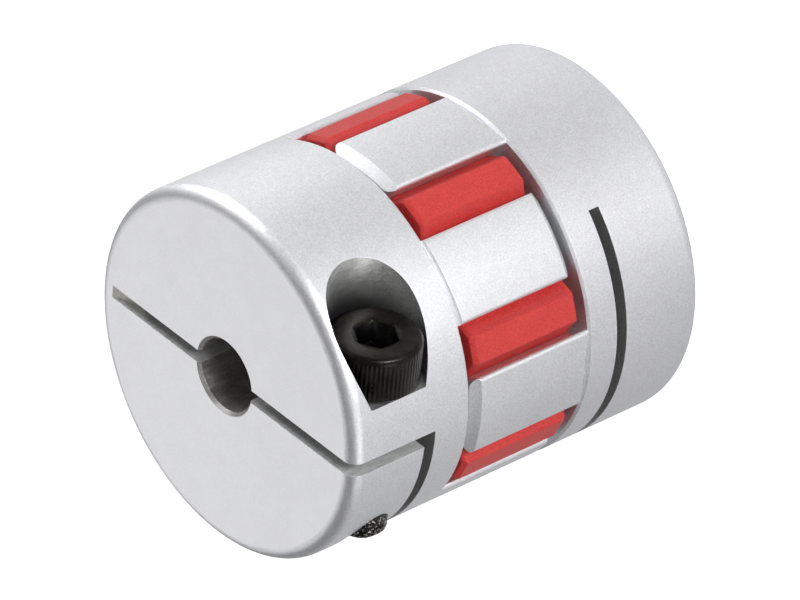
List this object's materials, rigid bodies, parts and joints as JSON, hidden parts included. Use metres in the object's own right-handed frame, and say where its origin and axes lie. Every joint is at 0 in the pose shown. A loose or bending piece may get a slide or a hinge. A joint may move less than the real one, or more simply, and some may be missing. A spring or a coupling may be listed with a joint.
{
  "type": "shaft coupling",
  "caption": "Jaw coupling that joins two shafts end to end: slit clamp hubs with interlocking jaws and an elastic spider between them.",
  "frame": {"origin": "on the coupling axis at the rear hub's end face, which it stands on", "axes": "+Z along the coupling axis from the rear hub to the front hub; +X out of the front hub's clamp slit; +Y toward the front clamp screw's head"},
  "size_m": [0.0316, 0.0305, 0.035],
  "materials": {
    "hub_aluminium": "bead blasted outside, turned end faces",
    "spider_red": "satin polyurethane",
    "screw_black": "black oxide"
  },
  "bodies": {
    "root": {"front_hub": "hub_aluminium", "rear_hub": "hub_aluminium", "spider": "spider_red", "front_clamp_screw": "screw_black", "rear_clamp_screw": "screw_black"}
  },
  "joints": []
}
